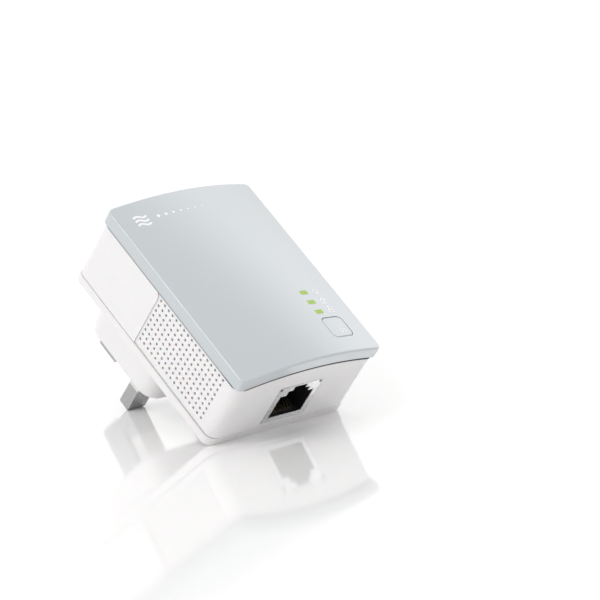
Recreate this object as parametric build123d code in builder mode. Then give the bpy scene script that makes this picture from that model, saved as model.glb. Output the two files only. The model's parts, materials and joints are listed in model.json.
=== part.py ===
"""Plug-in powerline adapter with a British three-pin plug, lying back on its plug as it lies on a table.

Every piece is modelled in the case's own directions: X across the face, Z up the face with the earth
pin at the top, and depths measured forward (towards -Y) from the back of the rear rim, so the plug has
negative depths. The finished pieces are then tilted together into the lying pose: +Z up from the table,
+Y away from the side that the network socket looks to, and the origin on the table under the middle.
"""

import os
from math import asin, atan2, degrees, hypot, pi, sqrt, tan

from build123d import *

os.makedirs("parts", exist_ok=True)

# ---------------------------------------------------------------- driving sizes, millimetres
CASE_WIDTH = 52.0
CASE_HEIGHT = 65.0
CASE_DEPTH = 28.0  # back of the rear rim to the crown of the bowed face
FACE_BULGE = 2.8  # how far the crown stands in front of the face's long edges

COVER_BAND = 3.6  # depth of the cover's side band; the seam behind it is bowed as the face is
COVER_RADIUS = 1.8
COVER_WALL = 1.6
COVER_EDGE_FILLET = 0.5

BODY_SIDE_INSET = 0.7  # cover overhang at the sides
BODY_END_INSET = 0.15  # cover overhang at the top and bottom
BODY_RADIUS = 3.2
BODY_WALL = 1.8
PANEL_RAISE = 0.4  # the smooth upper side panels stand proud of the vented sides
PANEL_FOOT_Z = 4.3
PANEL_FOOT_RADIUS = 2.0
DECK_THICKNESS = 1.15
SHADOW_GAP = 0.4  # open line between the cover and the body
SHADOW_GAP_REACH = 0.9
SPIGOT_HEIGHT = 1.2
SPIGOT_WALL = 0.9
SEAT_FIT = 0.1  # clearance of the lips that locate the shells

VENT_ROWS = 17
VENT_COLUMNS = 9
VENT_PITCH = 1.83
VENT_RADIUS = 0.43
VENT_CENTRE_DEPTH = 12.25
VENT_CENTRE_Z = -11.5

RIM_DEPTH = 2.6
RIM_INSET = 0.25
RIM_RADIUS = 2.8
RIM_GROOVE_WIDTH = 0.25  # open line between the rim and the body
RIM_GROOVE_REACH = 0.6
BACK_PLATE = 1.6
LIP_HEIGHT = 1.5
LIP_WALL = 1.2

# Plug to BS 1363: pin sections, lengths and spacings.
PIN_ROW_Z = 4.8  # height of the line and neutral pins on the case
PIN_SPACING = 22.2
EARTH_RISE = 22.2
POWER_PIN = (6.35, 4.0)
POWER_PIN_LENGTH = 17.7
EARTH_PIN = (4.0, 8.0)
EARTH_PIN_LENGTH = 22.7
PIN_TIP_RADIUS = 1.4
PIN_FIT = 0.05
SLEEVE_LENGTH = 9.5
SLEEVE_THICKNESS = 0.5
POWER_TONGUE = (3.0, 1.6)
EARTH_TONGUE = (1.6, 4.0)
TONGUE_PROUD = 0.8  # how far the solder tongues stand through the power board

BOSS_DEPTH = 10.0
BOSS_WIDTH = 46.4
BOSS_BOTTOM_Z = -7.5
BOSS_SHOULDER_Z = 19.7
BOSS_TOP_MARGIN = 0.3  # the boss's top edge inside the rim's
BOSS_TOP_WIDTH = 20.0
BOSS_WALL = 1.6
BOSS_END_WALL = 2.0
BOSS_RADIUS = 5.0
BOSS_EDGE_FILLET = 0.8
CARRIER_THICKNESS = 3.0
CARRIER_FIT = 0.3

# Circuit boards and their fixings.
BOARD_THICKNESS = 1.6
BOARD_RADIUS = 2.5
LOGIC_BOARD_GAP = 0.65  # behind the deck
LOGIC_BOARD_SIDE_GAP = 0.5
LOGIC_BOARD_TOP_Z = 28.0
LOGIC_BOARD_FOOT_GAP = 0.35
POWER_BOARD_STANDOFF = 0.8
POWER_BOARD_GAP = 0.5
STANDOFF_RADIUS = 1.5
STANDOFF_PLACES = ((-19.5, 27.0), (19.5, 27.0), (-19.0, -26.5), (19.0, -26.5))
POST_RADIUS = 2.0
POST_PROUD = 1.7  # screw posts stand this far in front of the deck
POST_PLACES = ((-20.6, 25.0), (20.6, 25.0), (-20.6, -27.8), (20.6, -27.8))
SCREW_RADIUS = 1.0
SCREW_HOLE_FIT = 0.03
SCREW_LENGTH = 4.6
SCREW_HEAD_RADIUS = 1.9
SCREW_HEAD_HEIGHT = 1.2
SCREW_SLOT = 0.5

# Status lights and pair button on the face.
LIGHT_X = 12.8
LIGHT_TOP_Z = -10.15
LIGHT_PITCH = 3.65
LIGHT_COUNT = 3
LIGHT_SLOT = (2.8, 1.3)
LIGHT_RADIUS = 0.3
LIGHT_FIT = 0.05
LED_SIZE = (1.6, 0.8)
LED_HEIGHT = 0.65
GUIDE_PLATE = 1.0
GUIDE_MARGIN = 0.9
GUIDE_LEG_INSET = 0.4
GUIDE_WINDOW_FIT = 0.2
BUTTON_PLACE = (15.05, -23.4)
BUTTON_SIZE = (8.0, 7.1)
BUTTON_RADIUS = 1.6
BUTTON_EDGE_FILLET = 0.25
BUTTON_GAP = 0.15
BUTTON_TRAVEL = 0.5
BUTTON_FLANGE_REACH = 0.8
BUTTON_FLANGE_THICKNESS = 0.7
BUTTON_FLANGE_GAP = 0.2  # between the flange and the inside of the cover at its near edge
BUTTON_STEM_RADIUS = 1.5
SWITCH_SIZE = 6.2
SWITCH_HEIGHT = 3.4
SWITCH_WINDOW_FIT = 0.4
PLUNGER_RADIUS = 1.75
PLUNGER_BORE_FIT = 0.05
PLUNGER_PROUD = 0.7
PLUNGER_DEPTH = 2.0
PLUNGER_GAP = 0.05

# Eight-way network socket in the bottom.
JACK_WIDTH = 15.9
JACK_HEIGHT = 13.6
JACK_LENGTH = 16.0
JACK_METAL = 0.25
JACK_CUTOUT_FIT = 0.2
JACK_CORNER_NOTCH = 0.9
JACK_HOUSING_LENGTH = 15.1
PORT_REAR_MARGIN = 1.55  # from the shield's rear face to the opening
PORT_SIZE = (12.4, 8.45)
PORT_KEY = (8.0, 10.1)
PORT_LATCH = (4.8, 11.6)
PORT_LENGTH = 13.0
CONTACT_COUNT = 8
CONTACT_PITCH = 1.02
CONTACT_WIDTH = 0.4
CONTACT_STRIP = 0.4
CONTACT_MOUTH_SETBACK = 1.4
CONTACT_RISE = 3.3
CONTACT_HEEL = 1.0

# ---------------------------------------------------------------- places worked out from those sizes
FACE_EDGE = CASE_DEPTH - FACE_BULGE
COVER_SEAT = FACE_EDGE - COVER_BAND  # depth of the seam at the long edges
BODY_WIDTH = CASE_WIDTH - 2 * BODY_SIDE_INSET
BODY_HEIGHT = CASE_HEIGHT - 2 * BODY_END_INSET
DECK_FRONT = COVER_SEAT - SHADOW_GAP
DECK_BACK = DECK_FRONT - DECK_THICKNESS
INNER_WIDTH = BODY_WIDTH - 2 * BODY_WALL
INNER_HEIGHT = BODY_HEIGHT - 2 * BODY_WALL
INNER_RADIUS = BODY_RADIUS - BODY_WALL
RIM_WIDTH = CASE_WIDTH - 2 * RIM_INSET
RIM_HEIGHT = CASE_HEIGHT - 2 * RIM_INSET
BOSS_TOP_Z = RIM_HEIGHT / 2 - BOSS_TOP_MARGIN
BOSS_SHOULDER_ANGLE = atan2((BOSS_WIDTH - BOSS_TOP_WIDTH) / 2, BOSS_TOP_Z - BOSS_SHOULDER_Z)
PIN_SEAT = -(BOSS_DEPTH - BOSS_END_WALL)

LOGIC_FRONT = DECK_BACK - LOGIC_BOARD_GAP
LOGIC_BACK = LOGIC_FRONT - BOARD_THICKNESS
LOGIC_WIDTH = INNER_WIDTH - 2 * LOGIC_BOARD_SIDE_GAP
LOGIC_FOOT_Z = -INNER_HEIGHT / 2 + LOGIC_BOARD_FOOT_GAP
POWER_BACK = BACK_PLATE + POWER_BOARD_STANDOFF
POWER_FRONT = POWER_BACK + BOARD_THICKNESS
POWER_WIDTH = INNER_WIDTH - 2 * (SEAT_FIT + LIP_WALL + POWER_BOARD_GAP)
POWER_HEIGHT = INNER_HEIGHT - 2 * (SEAT_FIT + LIP_WALL + POWER_BOARD_GAP)

LINE_PLACE = (PIN_SPACING / 2, PIN_ROW_Z)
NEUTRAL_PLACE = (-PIN_SPACING / 2, PIN_ROW_Z)
EARTH_PLACE = (0, PIN_ROW_Z + EARTH_RISE)

LIGHT_PLACES = [(LIGHT_X, LIGHT_TOP_Z - step * LIGHT_PITCH) for step in range(LIGHT_COUNT)]
GUIDE_PLACE = (LIGHT_X, LIGHT_TOP_Z - (LIGHT_COUNT - 1) * LIGHT_PITCH / 2)
GUIDE_SIZE = (
    LIGHT_SLOT[0] + 2 * GUIDE_MARGIN,
    (LIGHT_COUNT - 1) * LIGHT_PITCH + LIGHT_SLOT[1] + 2 * GUIDE_MARGIN,
)
BUTTON_REACH = BUTTON_PLACE[0] + BUTTON_SIZE[0] / 2 + BUTTON_FLANGE_REACH
BUTTON_ROOF = CASE_DEPTH - COVER_WALL - FACE_BULGE * (2 * BUTTON_REACH / CASE_WIDTH) ** 2
FLANGE_FRONT = BUTTON_ROOF - BUTTON_FLANGE_GAP
FLANGE_BACK = FLANGE_FRONT - BUTTON_FLANGE_THICKNESS
SWITCH_FRONT = LOGIC_FRONT + SWITCH_HEIGHT
PLUNGER_FRONT = SWITCH_FRONT + PLUNGER_PROUD
SWITCH_CELL = PLUNGER_DEPTH + BUTTON_TRAVEL + PLUNGER_BORE_FIT

JACK_MOUTH_Z = -BODY_HEIGHT / 2
JACK_FRONT = LOGIC_BACK
JACK_BACK = LOGIC_BACK - JACK_HEIGHT
PORT_REAR = JACK_BACK + PORT_REAR_MARGIN


# ---------------------------------------------------------------- shared shapes
CUTTER_OVERHANG = 1.0  # cutting shapes run this far past what they cut


def depth_plane(depth):
    """Plane across the case at a depth, facing forward, with local X and Y along the case's X and Z."""
    return Plane.XZ.offset(depth)


def bowed_section(inset, setback=0, overhang=0):
    """Level section behind the bowed face, drawn in by inset, set back, and run past its edges."""
    half = CASE_WIDTH / 2 - inset
    bow_radius = (half**2 + FACE_BULGE**2) / (2 * FACE_BULGE)
    reach = half + overhang
    crown = inset + setback - CASE_DEPTH
    edge = crown + bow_radius - sqrt(bow_radius**2 - reach**2)
    with BuildSketch(Plane.XY) as section:
        with BuildLine():
            bow = ThreePointArc((-reach, edge), (0, crown), (reach, edge))
            Polyline(bow @ 1, (reach, 0), (-reach, 0), bow @ 0)
        make_face()
    return section.sketch


def bowed_block(width, height, radius, setback):
    """A rounded block from the rim forward to the face's bow, set back in depth."""
    with BuildPart() as solid:
        with BuildSketch(depth_plane(RIM_DEPTH)):
            RectangleRounded(width, height, radius)
        extrude(amount=CASE_DEPTH - RIM_DEPTH)
        section = bowed_section(0, setback, CUTTER_OVERHANG)
        extrude(section, amount=height, both=True, mode=Mode.INTERSECT)
    return solid.part


def boss_outline(sketch, inset):
    """Draws the plug boss's outline, drawn in by inset, in the given sketch."""
    side = BOSS_WIDTH / 2 - inset
    shoulder = BOSS_SHOULDER_Z - inset * tan(BOSS_SHOULDER_ANGLE / 2)
    top_side = BOSS_TOP_WIDTH / 2 - inset * tan((pi / 2 - BOSS_SHOULDER_ANGLE) / 2)
    foot, top = BOSS_BOTTOM_Z + inset, BOSS_TOP_Z - inset
    Polygon(
        (-side, foot), (side, foot), (side, shoulder), (top_side, top), (-top_side, top), (-side, shoulder),
        align=None,
    )
    fillet(sketch.vertices(), radius=BOSS_RADIUS - inset / 2)


def block(label, place, base, size, height, radius=0.2):
    """A component moulded as a block, standing forward from depth base (backward if height is negative)."""
    with BuildPart() as part:
        with BuildSketch(depth_plane(base)):
            with Locations(place):
                Rectangle(*size)
        extrude(amount=height)
        fillet(part.edges().filter_by(Axis.Y), radius=radius)
    part.part.label = label
    return part


# ---------------------------------------------------------------- shells
with BuildPart() as front_cover:
    add(bowed_block(CASE_WIDTH, CASE_HEIGHT, COVER_RADIUS, 0))
    fillet(front_cover.faces().sort_by(Axis.Y)[0].edges(), radius=COVER_EDGE_FILLET)
    behind_seam = bowed_section(0, COVER_BAND, CUTTER_OVERHANG)
    extrude(behind_seam, amount=CASE_HEIGHT, both=True, mode=Mode.SUBTRACT)
    hollow = bowed_section(COVER_WALL)
    extrude(hollow, amount=CASE_HEIGHT / 2 - COVER_WALL, both=True, mode=Mode.SUBTRACT)
    with BuildSketch(depth_plane(COVER_SEAT)):
        with Locations(*LIGHT_PLACES):
            RectangleRounded(
                LIGHT_SLOT[0] + 2 * LIGHT_FIT, LIGHT_SLOT[1] + 2 * LIGHT_FIT, LIGHT_RADIUS + LIGHT_FIT
            )
        with Locations(BUTTON_PLACE):
            RectangleRounded(
                BUTTON_SIZE[0] + 2 * BUTTON_GAP, BUTTON_SIZE[1] + 2 * BUTTON_GAP, BUTTON_RADIUS + BUTTON_GAP
            )
    extrude(amount=CASE_DEPTH, mode=Mode.SUBTRACT)
front_cover.part.label = "front_cover"

# Smooth upper panels, proud of the vented sides, with a rounded lower front corner.
with BuildPart() as upper_panels:
    add(bowed_block(BODY_WIDTH + 2 * PANEL_RAISE, BODY_HEIGHT, BODY_RADIUS, COVER_BAND + SHADOW_GAP))
    with BuildSketch(Plane.YZ) as panel_side:
        Polygon(
            (-DECK_FRONT, PANEL_FOOT_Z), (0, PANEL_FOOT_Z), (0, CASE_HEIGHT), (-DECK_FRONT, CASE_HEIGHT),
            align=None,
        )
        fillet(panel_side.vertices().group_by(Axis.Y)[0].sort_by(Axis.X)[0], radius=PANEL_FOOT_RADIUS)
    extrude(amount=CASE_WIDTH, both=True, mode=Mode.INTERSECT)

spigot_width = CASE_WIDTH - 2 * (COVER_WALL + SEAT_FIT)
spigot_height = CASE_HEIGHT - 2 * (COVER_WALL + SEAT_FIT)
body_tube = bowed_block(BODY_WIDTH, BODY_HEIGHT, BODY_RADIUS, COVER_BAND + SHADOW_GAP)
cover_ledge = bowed_block(
    BODY_WIDTH - 2 * SHADOW_GAP_REACH, BODY_HEIGHT - 2 * SHADOW_GAP_REACH, BODY_RADIUS - SHADOW_GAP_REACH,
    COVER_BAND,
)
cover_spigot = bowed_block(spigot_width, spigot_height, INNER_RADIUS, COVER_BAND - SPIGOT_HEIGHT)

with BuildPart() as case_body:
    # The tube, the narrower ledge that the cover sits on, and the spigot inside the cover.
    add(upper_panels.part)
    add(body_tube)
    add(cover_ledge)
    add(cover_spigot)
    with BuildSketch(depth_plane(RIM_DEPTH)):
        RectangleRounded(INNER_WIDTH, INNER_HEIGHT, INNER_RADIUS)
    extrude(amount=DECK_BACK - RIM_DEPTH, mode=Mode.SUBTRACT)
    with BuildSketch(depth_plane(DECK_FRONT)):
        RectangleRounded(
            spigot_width - 2 * SPIGOT_WALL, spigot_height - 2 * SPIGOT_WALL, INNER_RADIUS - SPIGOT_WALL
        )
    extrude(amount=CASE_DEPTH - DECK_FRONT, mode=Mode.SUBTRACT)
    # Screw posts through the deck, with blind pilot holes from behind.
    with BuildSketch(depth_plane(LOGIC_FRONT)):
        with Locations(*POST_PLACES):
            Circle(POST_RADIUS)
    extrude(amount=COVER_SEAT + POST_PROUD - LOGIC_FRONT)
    with BuildSketch(depth_plane(LOGIC_FRONT)):
        with Locations(*POST_PLACES):
            Circle(SCREW_RADIUS + SCREW_HOLE_FIT)
    extrude(amount=SCREW_LENGTH - BOARD_THICKNESS + SCREW_HOLE_FIT, mode=Mode.SUBTRACT)
    # Windows in the deck for the light guide and the switch.
    with BuildSketch(depth_plane(DECK_BACK)):
        with Locations(GUIDE_PLACE):
            Rectangle(
                GUIDE_SIZE[0] - 2 * (GUIDE_LEG_INSET - GUIDE_WINDOW_FIT),
                GUIDE_SIZE[1] - 2 * (GUIDE_LEG_INSET - GUIDE_WINDOW_FIT),
            )
        with Locations(BUTTON_PLACE):
            Rectangle(SWITCH_SIZE + 2 * SWITCH_WINDOW_FIT, SWITCH_SIZE + 2 * SWITCH_WINDOW_FIT)
    extrude(amount=DECK_THICKNESS, mode=Mode.SUBTRACT)
    # Network socket's cut-out in the bottom wall.
    with BuildSketch(Plane.XY.offset(JACK_MOUTH_Z)):
        with Locations((0, -(JACK_FRONT + JACK_BACK) / 2)):
            Rectangle(JACK_WIDTH + 2 * JACK_CUTOUT_FIT, JACK_HEIGHT + 2 * JACK_CUTOUT_FIT)
    extrude(amount=BODY_WALL, mode=Mode.SUBTRACT)
    # Round vents in a square grid through both side walls.
    for side in (-1, 1):
        with BuildSketch(Plane.YZ.offset(side * INNER_WIDTH / 2)):
            with Locations((-VENT_CENTRE_DEPTH, VENT_CENTRE_Z)):
                with GridLocations(VENT_PITCH, VENT_PITCH, VENT_COLUMNS, VENT_ROWS):
                    Circle(VENT_RADIUS)
        extrude(amount=side * BODY_WALL, mode=Mode.SUBTRACT)
case_body.part.label = "case_body"

with BuildPart() as rear_cover:
    with BuildSketch(depth_plane(0)):
        RectangleRounded(RIM_WIDTH, RIM_HEIGHT, RIM_RADIUS)
    extrude(amount=RIM_DEPTH)
    with BuildSketch(depth_plane(RIM_DEPTH)):
        Rectangle(RIM_WIDTH + 2 * CUTTER_OVERHANG, RIM_HEIGHT + 2 * CUTTER_OVERHANG)
        RectangleRounded(
            BODY_WIDTH - 2 * RIM_GROOVE_REACH, BODY_HEIGHT - 2 * RIM_GROOVE_REACH,
            BODY_RADIUS - RIM_GROOVE_REACH, mode=Mode.SUBTRACT,
        )
    extrude(amount=-RIM_GROOVE_WIDTH, mode=Mode.SUBTRACT)
    with BuildSketch(depth_plane(RIM_DEPTH)):
        RectangleRounded(INNER_WIDTH - 2 * SEAT_FIT, INNER_HEIGHT - 2 * SEAT_FIT, INNER_RADIUS)
    extrude(amount=LIP_HEIGHT)
    with BuildSketch(depth_plane(BACK_PLATE)):
        lip_inset = SEAT_FIT + LIP_WALL
        RectangleRounded(INNER_WIDTH - 2 * lip_inset, INNER_HEIGHT - 2 * lip_inset, INNER_RADIUS - LIP_WALL)
    extrude(amount=RIM_DEPTH + LIP_HEIGHT - BACK_PLATE, mode=Mode.SUBTRACT)
    with BuildSketch(depth_plane(-BOSS_DEPTH)) as boss_foot:
        boss_outline(boss_foot, 0)
    extrude(amount=BOSS_DEPTH)
    fillet(rear_cover.faces().sort_by(Axis.Y)[-1].edges(), radius=BOSS_EDGE_FILLET)
    with BuildSketch(depth_plane(PIN_SEAT)) as boss_hollow:
        boss_outline(boss_hollow, BOSS_WALL)
    extrude(amount=BACK_PLATE - PIN_SEAT, mode=Mode.SUBTRACT)
    with BuildSketch(depth_plane(BACK_PLATE)):
        with Locations(*STANDOFF_PLACES):
            Circle(STANDOFF_RADIUS)
    extrude(amount=POWER_BOARD_STANDOFF)
    with BuildSketch(depth_plane(-BOSS_DEPTH)):
        with Locations(LINE_PLACE, NEUTRAL_PLACE):
            Rectangle(POWER_PIN[0] + 2 * PIN_FIT, POWER_PIN[1] + 2 * PIN_FIT)
        with Locations(EARTH_PLACE):
            Rectangle(EARTH_PIN[0] + 2 * PIN_FIT, EARTH_PIN[1] + 2 * PIN_FIT)
    extrude(amount=BOSS_END_WALL, mode=Mode.SUBTRACT)
rear_cover.part.label = "rear_cover"


# ---------------------------------------------------------------- plug pins
def plug_pin(label, place, section, length, tongue):
    """A brass pin: blade with a rounded tip, and a tongue that runs through to the power board."""
    with BuildPart() as pin:
        with BuildSketch(depth_plane(-BOSS_DEPTH - length)):
            with Locations(place):
                Rectangle(*section)
        extrude(amount=length + BOSS_END_WALL)
        fillet(pin.faces().sort_by(Axis.Y)[-1].edges(), radius=PIN_TIP_RADIUS)
        with BuildSketch(depth_plane(PIN_SEAT)):
            with Locations(place):
                Rectangle(*tongue)
        extrude(amount=POWER_FRONT + TONGUE_PROUD - PIN_SEAT)
        if section == POWER_PIN:
            with BuildSketch(depth_plane(-BOSS_DEPTH)):
                with Locations(place):
                    Rectangle(*section)
                    Rectangle(*sleeve_core(), mode=Mode.SUBTRACT)
            extrude(amount=-SLEEVE_LENGTH, mode=Mode.SUBTRACT)
    pin.part.label = label
    return pin


def sleeve_core():
    """Section of a power pin where its insulating sleeve is let in."""
    return [side - 2 * SLEEVE_THICKNESS for side in POWER_PIN]


def pin_sleeve(label, place):
    """Insulating sleeve let in flush round the root of a power pin."""
    with BuildPart() as sleeve:
        with BuildSketch(depth_plane(-BOSS_DEPTH)):
            with Locations(place):
                Rectangle(*POWER_PIN)
                Rectangle(*sleeve_core(), mode=Mode.SUBTRACT)
        extrude(amount=-SLEEVE_LENGTH)
    sleeve.part.label = label
    return sleeve


line_pin = plug_pin("line_pin", LINE_PLACE, POWER_PIN, POWER_PIN_LENGTH, POWER_TONGUE)
neutral_pin = plug_pin("neutral_pin", NEUTRAL_PLACE, POWER_PIN, POWER_PIN_LENGTH, POWER_TONGUE)
earth_pin = plug_pin("earth_pin", EARTH_PLACE, EARTH_PIN, EARTH_PIN_LENGTH, EARTH_TONGUE)
line_pin_sleeve = pin_sleeve("line_pin_sleeve", LINE_PLACE)
neutral_pin_sleeve = pin_sleeve("neutral_pin_sleeve", NEUTRAL_PLACE)

with BuildPart() as pin_carrier:
    with BuildSketch(depth_plane(PIN_SEAT)) as carrier_outline:
        boss_outline(carrier_outline, BOSS_WALL + CARRIER_FIT)
        with Locations(LINE_PLACE, NEUTRAL_PLACE):
            Rectangle(POWER_TONGUE[0] + 2 * PIN_FIT, POWER_TONGUE[1] + 2 * PIN_FIT, mode=Mode.SUBTRACT)
        with Locations(EARTH_PLACE):
            Rectangle(EARTH_TONGUE[0] + 2 * PIN_FIT, EARTH_TONGUE[1] + 2 * PIN_FIT, mode=Mode.SUBTRACT)
    extrude(amount=CARRIER_THICKNESS)
pin_carrier.part.label = "pin_carrier"

# ---------------------------------------------------------------- circuit boards and screws
with BuildPart() as logic_board:
    with BuildSketch(depth_plane(LOGIC_BACK)):
        with Locations((0, (LOGIC_BOARD_TOP_Z + LOGIC_FOOT_Z) / 2)):
            RectangleRounded(LOGIC_WIDTH, LOGIC_BOARD_TOP_Z - LOGIC_FOOT_Z, BOARD_RADIUS)
        with Locations(*POST_PLACES):
            Circle(SCREW_RADIUS + PIN_FIT, mode=Mode.SUBTRACT)
    extrude(amount=BOARD_THICKNESS)
logic_board.part.label = "logic_board"

with BuildPart() as power_board:
    with BuildSketch(depth_plane(POWER_BACK)):
        RectangleRounded(POWER_WIDTH, POWER_HEIGHT, BOARD_RADIUS)
        with Locations(LINE_PLACE, NEUTRAL_PLACE):
            Rectangle(POWER_TONGUE[0] + 2 * PIN_FIT, POWER_TONGUE[1] + 2 * PIN_FIT, mode=Mode.SUBTRACT)
        with Locations(EARTH_PLACE):
            Rectangle(EARTH_TONGUE[0] + 2 * PIN_FIT, EARTH_TONGUE[1] + 2 * PIN_FIT, mode=Mode.SUBTRACT)
    extrude(amount=BOARD_THICKNESS)
power_board.part.label = "power_board"

with BuildPart() as board_screws:
    with BuildSketch(depth_plane(LOGIC_BACK)):
        with Locations(*POST_PLACES):
            Circle(SCREW_RADIUS)
    extrude(amount=SCREW_LENGTH)
    with BuildSketch(depth_plane(LOGIC_BACK)):
        with Locations(*POST_PLACES):
            Circle(SCREW_HEAD_RADIUS)
    extrude(amount=-SCREW_HEAD_HEIGHT)
    with BuildSketch(depth_plane(LOGIC_BACK - SCREW_HEAD_HEIGHT)):
        with Locations(*POST_PLACES):
            Rectangle(2 * SCREW_RADIUS, SCREW_SLOT)
            Rectangle(SCREW_SLOT, 2 * SCREW_RADIUS)
    extrude(amount=SCREW_HEAD_HEIGHT / 2, mode=Mode.SUBTRACT)
board_screws.part.label = "board_screws"

# ---------------------------------------------------------------- lights and button
with BuildPart() as status_leds:
    with BuildSketch(depth_plane(LOGIC_FRONT)):
        with Locations(*LIGHT_PLACES):
            Rectangle(*LED_SIZE)
    extrude(amount=LED_HEIGHT)
status_leds.part.label = "status_leds"

with BuildPart() as light_guide:
    with BuildSketch(depth_plane(DECK_FRONT)):
        with Locations(*LIGHT_PLACES):
            RectangleRounded(*LIGHT_SLOT, LIGHT_RADIUS)
    extrude(amount=CASE_DEPTH - DECK_FRONT)
    extrude(bowed_section(0), amount=CASE_HEIGHT / 2, both=True, mode=Mode.INTERSECT)
    with BuildSketch(depth_plane(DECK_FRONT)):
        with Locations(GUIDE_PLACE):
            Rectangle(*GUIDE_SIZE)
    extrude(amount=GUIDE_PLATE)
    with BuildSketch(depth_plane(DECK_FRONT)):
        with Locations(GUIDE_PLACE):
            Rectangle(GUIDE_SIZE[0] - 2 * GUIDE_LEG_INSET, GUIDE_SIZE[1] - 2 * GUIDE_LEG_INSET)
    extrude(amount=LOGIC_FRONT + LED_HEIGHT + GUIDE_WINDOW_FIT / 2 - DECK_FRONT)
light_guide.part.label = "light_guide"

with BuildPart() as pair_button:
    with BuildSketch(depth_plane(FLANGE_BACK)):
        with Locations(BUTTON_PLACE):
            RectangleRounded(*BUTTON_SIZE, BUTTON_RADIUS)
    extrude(amount=CASE_DEPTH - FLANGE_BACK)
    extrude(bowed_section(0), amount=CASE_HEIGHT / 2, both=True, mode=Mode.INTERSECT)
    fillet(pair_button.faces().sort_by(Axis.Y)[0].edges(), radius=BUTTON_EDGE_FILLET)
    with BuildSketch(depth_plane(FLANGE_BACK)):
        with Locations(BUTTON_PLACE):
            RectangleRounded(
                BUTTON_SIZE[0] + 2 * BUTTON_FLANGE_REACH, BUTTON_SIZE[1] + 2 * BUTTON_FLANGE_REACH,
                BUTTON_RADIUS,
            )
    extrude(amount=BUTTON_FLANGE_THICKNESS)
    with BuildSketch(depth_plane(PLUNGER_FRONT + PLUNGER_GAP)):
        with Locations(BUTTON_PLACE):
            Circle(BUTTON_STEM_RADIUS)
    extrude(amount=FLANGE_FRONT - PLUNGER_FRONT - PLUNGER_GAP)
pair_button.part.label = "pair_button"

with BuildPart() as switch_base:
    with BuildSketch(depth_plane(LOGIC_FRONT)):
        with Locations(BUTTON_PLACE):
            Rectangle(SWITCH_SIZE, SWITCH_SIZE)
    extrude(amount=SWITCH_HEIGHT)
    with BuildSketch(depth_plane(SWITCH_FRONT)):
        with Locations(BUTTON_PLACE):
            Circle(PLUNGER_RADIUS + PLUNGER_BORE_FIT)
    extrude(amount=-SWITCH_CELL, mode=Mode.SUBTRACT)
switch_base.part.label = "switch_base"

with BuildPart() as switch_plunger:
    with BuildSketch(depth_plane(PLUNGER_FRONT)):
        with Locations(BUTTON_PLACE):
            Circle(PLUNGER_RADIUS)
    extrude(amount=-(PLUNGER_PROUD + PLUNGER_DEPTH))
switch_plunger.part.label = "switch_plunger"


# ---------------------------------------------------------------- network socket
def port_opening(z, length):
    """Cuts the stepped plug opening, with its latch towards the face, from height z up by length."""
    with BuildSketch(Plane.XY.offset(z)) as opening:
        with Locations((0, -PORT_REAR)):
            for size in (PORT_SIZE, PORT_KEY, PORT_LATCH):
                Rectangle(*size, align=(Align.CENTER, Align.MAX))
    extrude(opening.sketch, amount=length, mode=Mode.SUBTRACT)


with BuildPart() as jack_shield:
    with BuildSketch(Plane.XY.offset(JACK_MOUTH_Z)):
        with Locations((0, -(JACK_FRONT + JACK_BACK) / 2)):
            Rectangle(JACK_WIDTH, JACK_HEIGHT)
    extrude(amount=JACK_LENGTH)
    with BuildSketch(Plane.XY.offset(JACK_MOUTH_Z + JACK_METAL)):
        with Locations((0, -(JACK_FRONT + JACK_BACK) / 2)):
            Rectangle(JACK_WIDTH - 2 * JACK_METAL, JACK_HEIGHT - 2 * JACK_METAL)
    extrude(amount=JACK_LENGTH - 2 * JACK_METAL, mode=Mode.SUBTRACT)
    port_opening(JACK_MOUTH_Z, JACK_METAL)
    # Square notches at the two corners nearest the face.
    with BuildSketch(Plane.XY.offset(JACK_MOUTH_Z)):
        with Locations((0, -JACK_FRONT + JACK_METAL + JACK_CORNER_NOTCH / 2)):
            with GridLocations(JACK_WIDTH - 2 * JACK_METAL - JACK_CORNER_NOTCH, 0, 2, 1):
                Rectangle(JACK_CORNER_NOTCH, JACK_CORNER_NOTCH)
    extrude(amount=JACK_METAL, mode=Mode.SUBTRACT)
jack_shield.part.label = "jack_shield"

with BuildPart() as jack_housing:
    with BuildSketch(Plane.XY.offset(JACK_MOUTH_Z + JACK_METAL)):
        with Locations((0, -(JACK_FRONT + JACK_BACK) / 2)):
            Rectangle(JACK_WIDTH - 2 * JACK_METAL, JACK_HEIGHT - 2 * JACK_METAL)
    extrude(amount=JACK_HOUSING_LENGTH)
    port_opening(JACK_MOUTH_Z + JACK_METAL, PORT_LENGTH - JACK_METAL)
jack_housing.part.label = "jack_housing"

with BuildPart() as jack_contacts:
    port_end_z = JACK_MOUTH_Z + PORT_LENGTH
    contact_foot_z = JACK_MOUTH_Z + CONTACT_MOUTH_SETBACK
    contact_crest = -PORT_REAR - CONTACT_RISE
    for step in range(CONTACT_COUNT):
        contact_x = (step - (CONTACT_COUNT - 1) / 2) * CONTACT_PITCH - CONTACT_WIDTH / 2
        with BuildSketch(Plane.YZ.offset(contact_x)):
            Polygon(
                (-PORT_REAR, contact_foot_z), (-PORT_REAR, contact_foot_z + CONTACT_HEEL),
                (contact_crest, port_end_z - CONTACT_HEEL), (contact_crest, port_end_z),
                (contact_crest - CONTACT_STRIP, port_end_z),
                (contact_crest - CONTACT_STRIP, port_end_z - CONTACT_HEEL),
                (-PORT_REAR - CONTACT_STRIP, contact_foot_z),
                align=None,
            )
        extrude(amount=CONTACT_WIDTH)
jack_contacts.part.label = "jack_contacts"

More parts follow.
